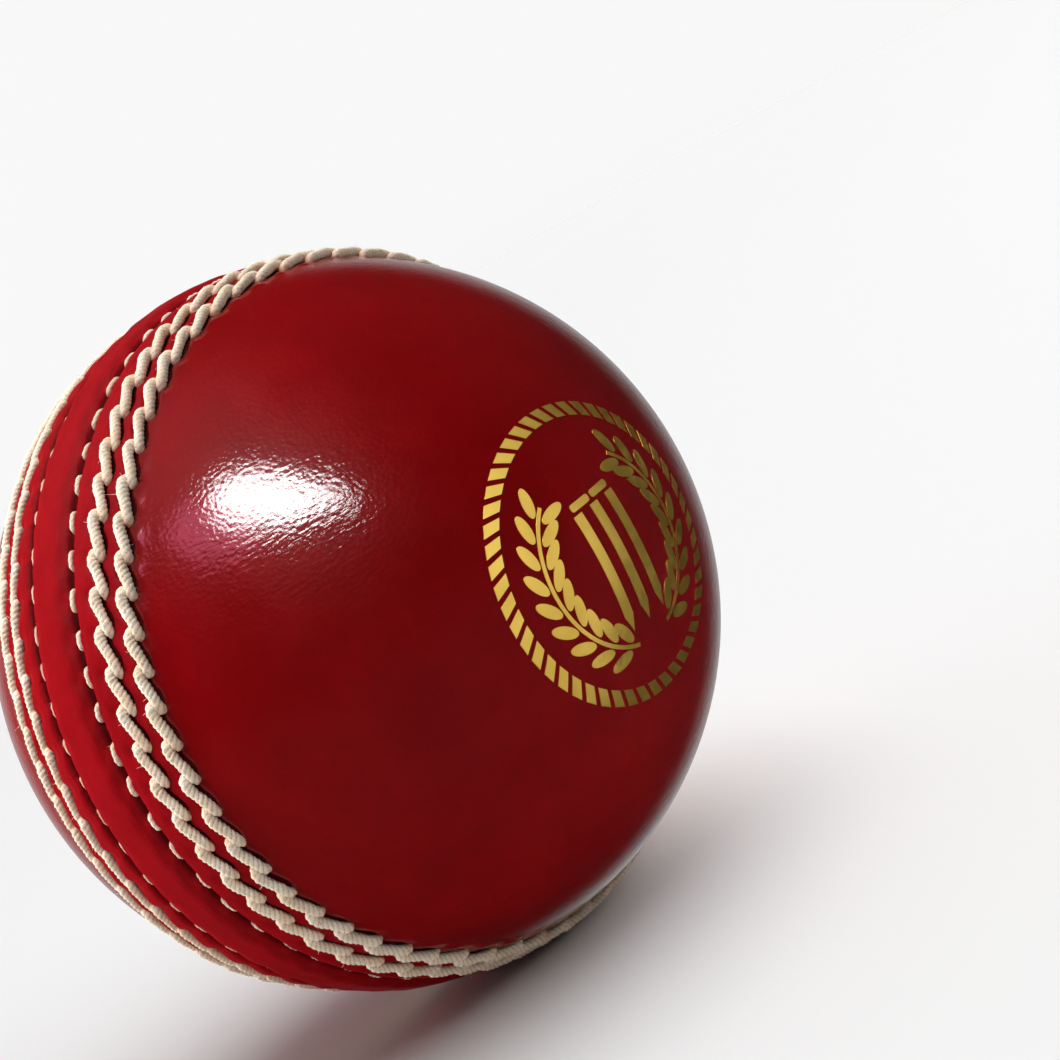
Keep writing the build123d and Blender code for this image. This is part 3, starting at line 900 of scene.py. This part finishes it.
# CAD nodes that keep their own shape get these materials. The bands of each winding are tilted by its number
WINDING_TILT = (0.9, 1.7, 0.4)
for node_name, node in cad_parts.items():
    if node_name.startswith("cork"):
        finish = CORK
    elif node_name.startswith("yarn"):
        number = int(node_name[-1])
        tilt = (number * WINDING_TILT[0], number * WINDING_TILT[1], WINDING_TILT[2])
        finish = yarn_material(node_name + "_wool", tilt)
    elif node_name.endswith("hidden_stitching"):
        finish = HIDDEN_THREAD
    elif node_name == "gold_foil_stamp":
        finish = FOIL
    else:
        continue
    node.data.materials.clear()
    node.data.materials.append(finish)

# ---------------------------------------------------------------- floor, light and camera

# Line of sight: around the ball from +X, above the floor, and the camera's tilt about that line
CAMERA_AZIMUTH = math.radians(-130.26)
CAMERA_ELEVATION = math.radians(10.0)
CAMERA_ROLL = math.radians(-30.57)
VIEW_BACK = Vector(
    (
        math.cos(CAMERA_ELEVATION) * math.cos(CAMERA_AZIMUTH),
        math.cos(CAMERA_ELEVATION) * math.sin(CAMERA_AZIMUTH),
        math.sin(CAMERA_ELEVATION),
    )
)
LEVEL_RIGHT = Vector((-math.sin(CAMERA_AZIMUTH), math.cos(CAMERA_AZIMUTH), 0))
VIEW_RIGHT = LEVEL_RIGHT * math.cos(CAMERA_ROLL) + VIEW_BACK.cross(LEVEL_RIGHT) * math.sin(CAMERA_ROLL)
VIEW_UP = VIEW_BACK.cross(VIEW_RIGHT)

# The camera, in metres and millimetres of lens. It turns away from the ball's centre by these slopes
CAMERA_DISTANCE = 0.286
CAMERA_LENS = 98.2
CAMERA_SENSOR = 36.0
TURN_RIGHT = 0.05915
TURN_UP = 0.03113

# In metres
FLOOR_RADIUS = 1.0
FLOOR_FADE_START = 0.25
FLOOR_FADE_END = 0.90
LIGHT_DISTANCE = 2.0

BACKGROUND = 0.94


def from_view(x, y, z):
    """Direction given to the right of, above and towards the camera."""
    return VIEW_RIGHT * x + VIEW_UP * y + VIEW_BACK * z


def aimed(right, up, back, place):
    """Matrix of a camera or a lamp that stands at a place and faces away from back."""
    return Matrix([[right[i], up[i], back[i], place[i]] for i in range(3)] + [[0, 0, 0, 1]])


def add_floor():
    """Round white floor that fades out into the white background."""
    bpy.ops.mesh.primitive_circle_add(
        vertices=96,
        radius=FLOOR_RADIUS,
        fill_type="NGON",
        location=(0, 0, -SEAM_RADIUS * MM),
    )
    floor = bpy.context.object
    floor.name = "floor"
    m = Nodes("pale_floor")
    m.set(Base_Color=(0.86, 0.86, 0.86, 1.0), Roughness=0.9, Specular_IOR_Level=0.0)
    distance = m.add("ShaderNodeVectorMath", {0: m.place()}, operation="LENGTH").outputs["Value"]
    m.set(Alpha=m.ramp(distance, FLOOR_FADE_START, FLOOR_FADE_END, 1.0, 0.0))
    floor.data.materials.append(m.material)
    floor.visible_glossy = False
    return floor


def add_light(name, direction, size_x, size_y, power, seen_by, shape="RECTANGLE", colour=(1, 1, 1)):
    """Softbox that faces the ball. It lights either the colours or the gloss."""
    lamp = bpy.data.lights.new(name, "AREA")
    lamp.shape = shape
    lamp.color = colour
    lamp.size = size_x
    lamp.size_y = size_y
    lamp.energy = power
    light = bpy.data.objects.new(name, lamp)
    bpy.context.scene.collection.objects.link(light)
    back = direction.normalized()
    across = VIEW_UP.cross(back).normalized()
    light.matrix_world = aimed(across, back.cross(across), back, back * LIGHT_DISTANCE)
    light.visible_diffuse = seen_by == "colour"
    light.visible_glossy = seen_by == "gloss"
    return light


def link_light(light, thing, state):
    """Makes a light shine on one object only, or on everything but that object."""
    group = bpy.data.collections.new(light.name + "_link")
    group.objects.link(thing)
    group.collection_objects[0].light_linking.link_state = state
    light.light_linking.receiver_collection = group


def world_level(tree, facing, low, high, dim, bright):
    """Brightness that goes from dim to bright as the lean towards the camera goes from low to high."""
    ramp = tree.nodes.new("ShaderNodeMapRange")
    ramp.interpolation_type = "SMOOTHSTEP"
    tree.links.new(facing, ramp.inputs["Value"])
    for key, value in (("From Min", low), ("From Max", high), ("To Min", dim), ("To Max", bright)):
        ramp.inputs[key].default_value = value
    return ramp.outputs["Result"]


def mix_numbers(tree, factor, a, b):
    """a where the factor is 0, and b where it is 1."""
    node = tree.nodes.new("ShaderNodeMix")
    for socket, value in zip((node.inputs[0], node.inputs[2], node.inputs[3]), (factor, a, b)):
        feed(tree, socket, value)
    return node.outputs[0]


def add_world():
    """White studio behind the ball and a dim one in front of it. The background itself is plain white."""
    world = bpy.data.worlds.new("studio")
    bpy.context.scene.world = world
    world.use_nodes = True
    tree = world.node_tree
    lean = tree.nodes.new("ShaderNodeVectorMath")
    lean.operation = "DOT_PRODUCT"
    tree.links.new(tree.nodes.new("ShaderNodeTexCoord").outputs["Generated"], lean.inputs[0])
    lean.inputs[1].default_value = VIEW_BACK
    facing = lean.outputs["Value"]
    in_gloss = world_level(tree, facing, -0.78, -0.985, 0.007, 0.50)
    in_colour = world_level(tree, facing, 0.60, -0.90, 0.05, 0.62)
    rays = tree.nodes.new("ShaderNodeLightPath")
    strength = mix_numbers(tree, rays.outputs["Is Glossy Ray"], in_colour, in_gloss)
    strength = mix_numbers(tree, rays.outputs["Is Camera Ray"], strength, BACKGROUND)
    background = tree.nodes["Background"]
    tree.links.new(strength, background.inputs["Strength"])
    background.inputs["Color"].default_value = (1.0, 1.0, 1.0, 1.0)


def add_camera():
    """Camera turned so that the ball sits left of and below the middle of the picture."""
    back = (VIEW_BACK - VIEW_RIGHT * TURN_RIGHT - VIEW_UP * TURN_UP).normalized()
    right = VIEW_UP.cross(back).normalized()
    camera_data = bpy.data.cameras.new("camera")
    camera_data.lens = CAMERA_LENS
    camera_data.sensor_width = CAMERA_SENSOR
    camera_data.clip_start = 0.01
    camera_data.clip_end = 50.0
    camera = bpy.data.objects.new("camera", camera_data)
    bpy.context.scene.collection.objects.link(camera)
    camera.matrix_world = aimed(right, back.cross(right), back, VIEW_BACK * CAMERA_DISTANCE)
    bpy.context.scene.camera = camera


floor = add_floor()
left_softbox = add_light("left_softbox", from_view(-0.74, 0.63, 0.22), 1.8, 1.8, 60.0, "colour")
low_fill = add_light("low_fill", from_view(-0.85, -0.36, -0.30), 0.8, 0.8, 52.0, "colour")
floor_softbox = add_light("floor_softbox", from_view(0.10, 0.95, 0.20), 3.6, 3.6, 84.0, "colour")
add_light("window_softbox", from_view(-0.462, 0.573, 0.678), 1.15, 0.58, 52.0, "gloss", "ELLIPSE")
add_light("window_end_softbox", from_view(-0.22, 0.60, 0.77), 0.80, 0.30, 15.0, "gloss", "ELLIPSE")
add_light("low_softbox", from_view(-0.68, 0.42, 0.60), 1.05, 0.60, 6.5, "gloss", "ELLIPSE", (1.0, 0.22, 0.42))
foil_card = add_light("foil_card", Vector((0, -1, 0)), 4.0, 4.0, 45.0, "gloss")
link_light(left_softbox, floor, "EXCLUDE")
link_light(low_fill, floor, "EXCLUDE")
link_light(floor_softbox, floor, "INCLUDE")
link_light(foil_card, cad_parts["gold_foil_stamp"], "INCLUDE")
add_world()
add_camera()
bpy.context.scene.view_settings.view_transform = "Standard"
